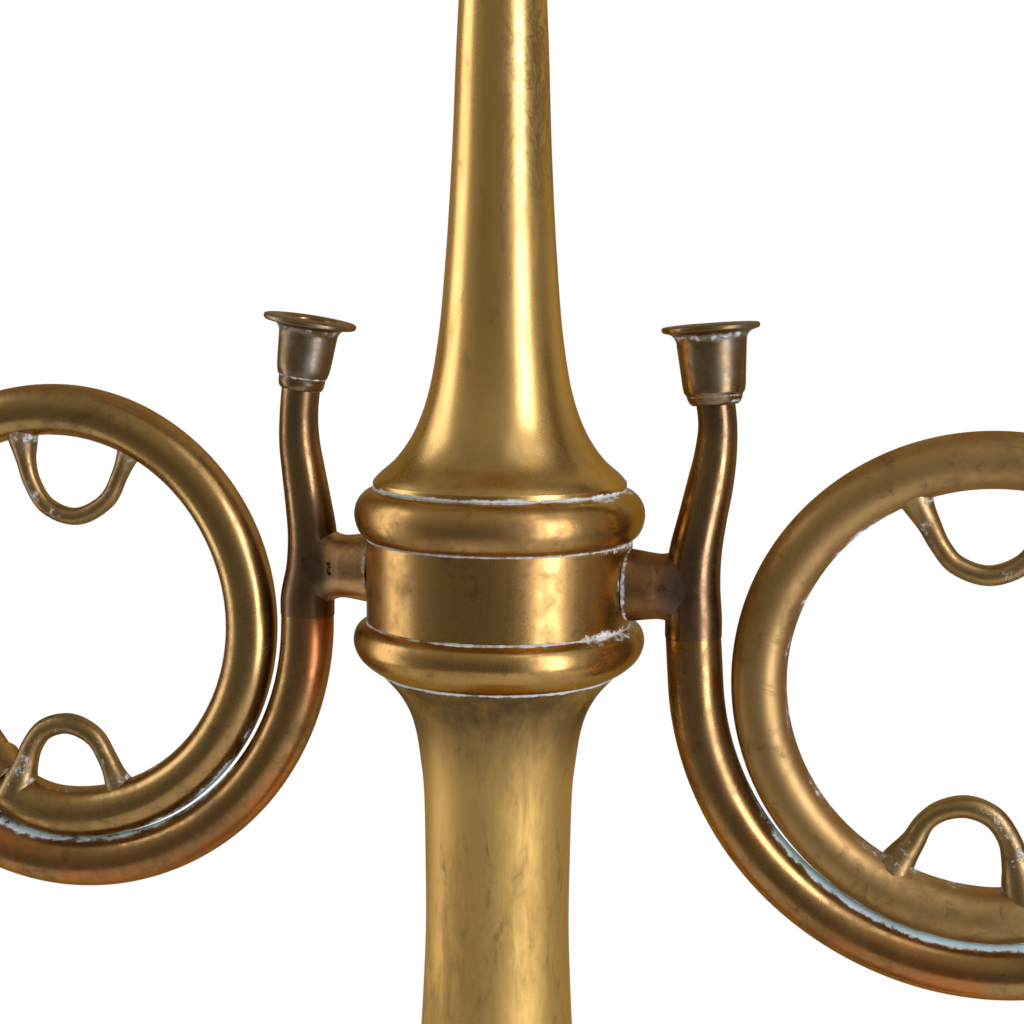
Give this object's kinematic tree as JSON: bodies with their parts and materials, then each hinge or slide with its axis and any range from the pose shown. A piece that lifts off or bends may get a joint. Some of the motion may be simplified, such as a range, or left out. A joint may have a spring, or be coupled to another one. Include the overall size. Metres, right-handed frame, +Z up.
{
  "type": "music stand",
  "caption": "Floor-standing brass music stand with two decorative hunting horns on a beaded collar and a sliding, swivelling and tilting desk.",
  "frame": {"origin": "centre of the felt on the floor, under the column axis", "axes": "+Z up along the column, +X along the right-hand horn, -Y towards the reader (the front of the desk)"},
  "size_m": [0.7042, 0.302, 1.3595],
  "materials": {
    "aged_brass": "aged, hand polished",
    "horn_brass": "aged, coppery brown tarnish",
    "dark_brass": "dark brown tarnish",
    "desk_brass": "aged sheet and turned brass",
    "cast_iron": "black painted casting",
    "plain_steel": "plain machined steel",
    "felt": "green wool felt",
    "fibre": "vulcanised fibre"
  },
  "bodies": {
    "stand": {"base_felt": "felt", "base_spacer": "plain_steel", "base_weight": "cast_iron", "clamp_pad": "desk_brass", "collar_band": "aged_brass", "column_plug": "plain_steel", "flange_screws": "plain_steel", "foot_collar": "aged_brass", "foot_rim_wire": "aged_brass", "foot_shell": "aged_brass", "guide_tube": "plain_steel", "hub_block": "aged_brass", "left_bell": "horn_brass", "left_bell_brace": "horn_brass", "left_bell_wire": "horn_brass", "left_horn_arm": "horn_brass", "left_horn_sleeves": "horn_brass", "left_inner_loop": "horn_brass", "left_lead_pipe": "dark_brass", "left_lower_finger_ring": "horn_brass", "left_mouthpiece": "dark_brass", "left_outer_coil": "horn_brass", "left_upper_finger_ring": "horn_brass", "lower_bead": "aged_brass", "lower_column": "aged_brass", "right_bell": "horn_brass", "right_bell_brace": "horn_brass", "right_bell_wire": "horn_brass", "right_horn_arm": "horn_brass", "right_horn_sleeves": "horn_brass", "right_inner_loop": "horn_brass", "right_lead_pipe": "dark_brass", "right_lower_finger_ring": "horn_brass", "right_mouthpiece": "dark_brass", "right_outer_coil": "horn_brass", "right_upper_finger_ring": "horn_brass", "rod_bush": "desk_brass", "tie_rod": "plain_steel", "tie_rod_nuts": "plain_steel", "tie_rod_washers": "plain_steel", "top_ferrule": "desk_brass", "upper_bead": "aged_brass", "upper_column": "aged_brass"},
    "height_screw": {"height_thumbscrew": "desk_brass"},
    "rod": {"desk_rod": "desk_brass"},
    "yoke": {"swivel_yoke": "desk_brass", "swivel_screw": "desk_brass", "tilt_washers": "fibre"},
    "desk": {"tilt_bracket": "desk_brass", "tilt_bolt": "desk_brass", "desk_plate": "desk_brass", "desk_ledge": "desk_brass", "ledge_rivets": "desk_brass", "bracket_rivets": "desk_brass", "page_holder_screws": "desk_brass"},
    "wing_nut": {"tilt_wing_nut": "desk_brass"},
    "left_page_holder": {"page_holder_left": "desk_brass"},
    "right_page_holder": {"page_holder_right": "desk_brass"}
  },
  "joints": [
    {"name": "desk_height", "type": "slide", "parent": "stand", "child": "rod", "axis": [0, 0, 1], "range_m": [-0.055, 0.07]},
    {"name": "clamp_turn", "type": "hinge", "parent": "stand", "child": "height_screw", "pos_m": [0.012, 0, 0.9865], "axis": [1, 0, 0], "range_deg": [0, 360]},
    {"name": "desk_swivel", "type": "hinge", "parent": "rod", "child": "yoke", "pos_m": [0, 0, 1.095], "axis": [0, 0, 1], "continuous": true},
    {"name": "desk_tilt", "type": "hinge", "parent": "yoke", "child": "desk", "pos_m": [0, 0, 1.132], "axis": [1, 0, 0], "range_deg": [-45, 22]},
    {"name": "wing_nut_turn", "type": "hinge", "parent": "desk", "child": "wing_nut", "pos_m": [0.013, 0, 1.132], "axis": [1, 0, 0], "range_deg": [0, 360]},
    {"name": "left_page_turn", "type": "hinge", "parent": "desk", "child": "left_page_holder", "pos_m": [-0.128, -0.07365, 1.0992], "axis": [0, 0.9272, -0.3746], "range_deg": [0, 100]},
    {"name": "right_page_turn", "type": "hinge", "parent": "desk", "child": "right_page_holder", "pos_m": [0.128, -0.07365, 1.0992], "axis": [0, 0.9272, -0.3746], "range_deg": [-100, 0]}
  ]
}
